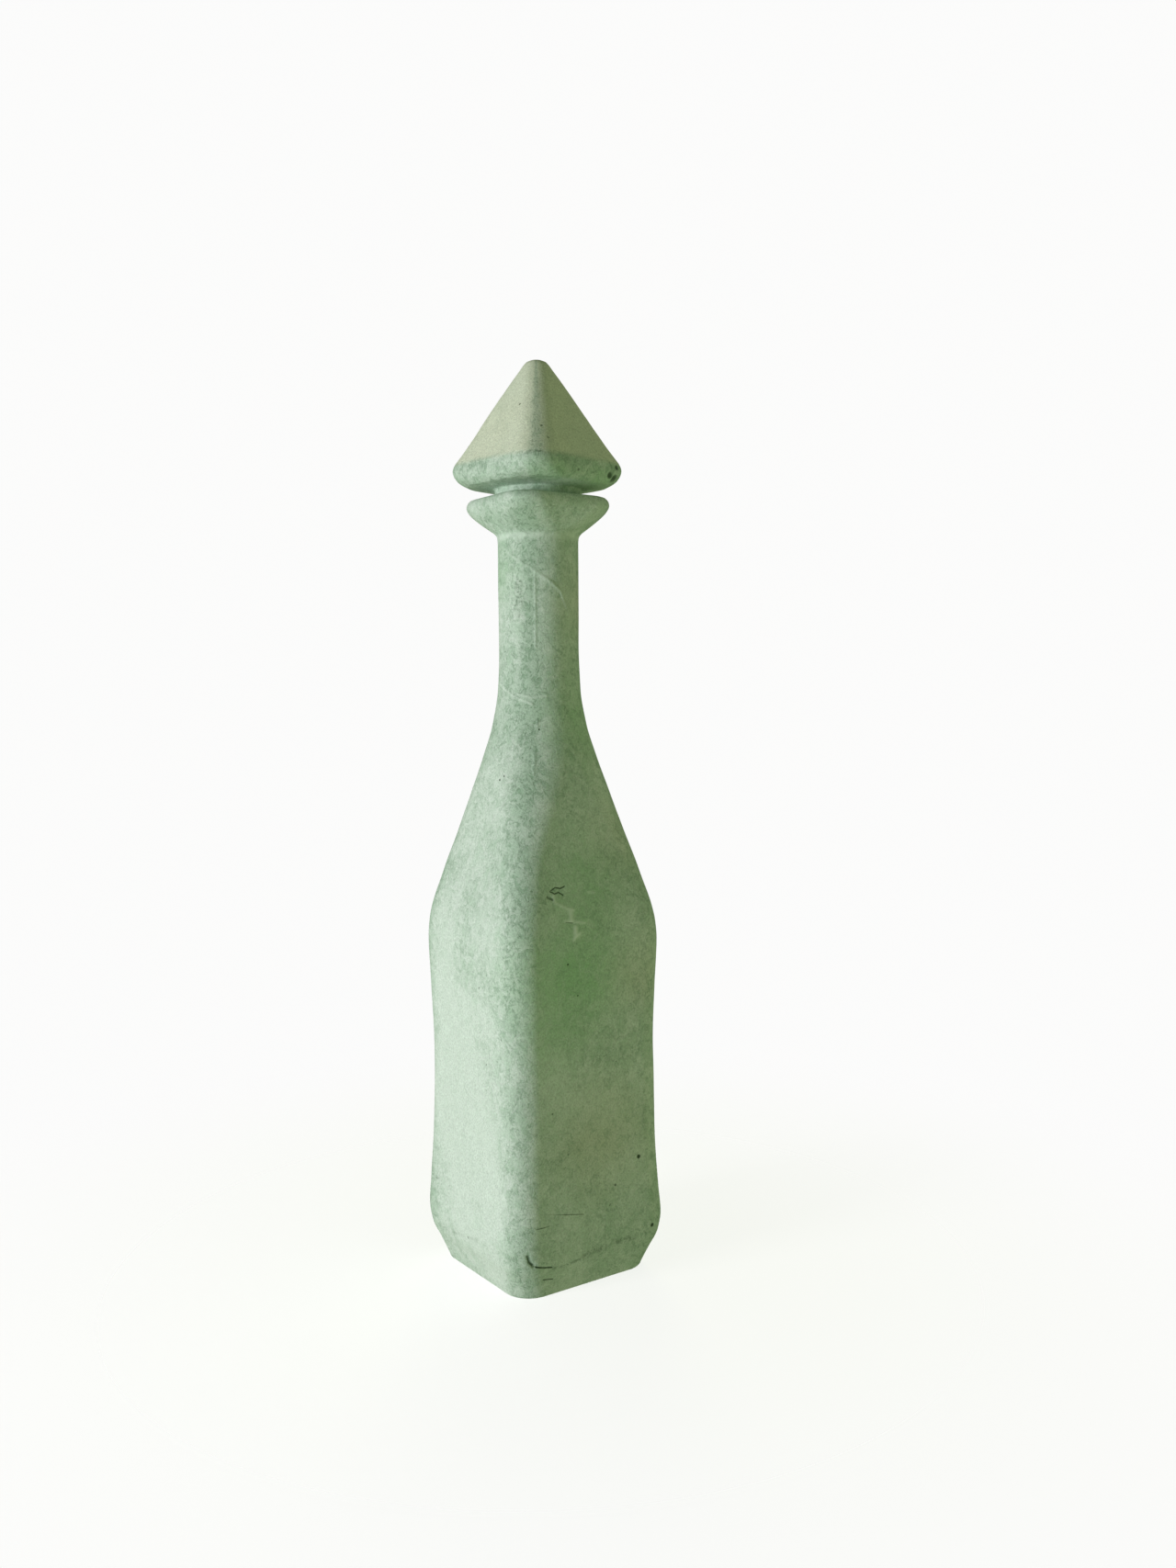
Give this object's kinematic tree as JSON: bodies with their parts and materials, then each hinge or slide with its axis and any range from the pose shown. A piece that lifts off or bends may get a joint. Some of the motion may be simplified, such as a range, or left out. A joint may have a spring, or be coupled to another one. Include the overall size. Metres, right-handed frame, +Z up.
{
  "type": "sake bottle",
  "caption": "Square-sided moulded glass bottle with a tapering shoulder, round neck, flared square collar and a pyramid-shaped glass stopper sealed by a cork sleeve",
  "frame": {"origin": "centre of the plane that the foot rests on", "axes": "+Z up along the bottle's axis, +X and +Y square to the body's faces"},
  "size_m": [0.0714, 0.0714, 0.35],
  "materials": {
    "frosted_glass": "opaque pale green glass with a matt, chalky, etched skin",
    "cork": "natural cork, matt"
  },
  "bodies": {
    "bottle": {"bottle": "frosted_glass"},
    "seal": {"cork_sleeve": "cork"},
    "stopper": {"stopper": "frosted_glass"}
  },
  "joints": [
    {"name": "stopper_lift", "type": "slide", "parent": "bottle", "child": "seal", "axis": [0, 0, 1], "range_m": [0, 0.06]},
    {"name": "stopper_turn", "type": "hinge", "parent": "seal", "child": "stopper", "pos_m": [0, 0, 0.285], "axis": [0, 0, 1], "continuous": true}
  ]
}
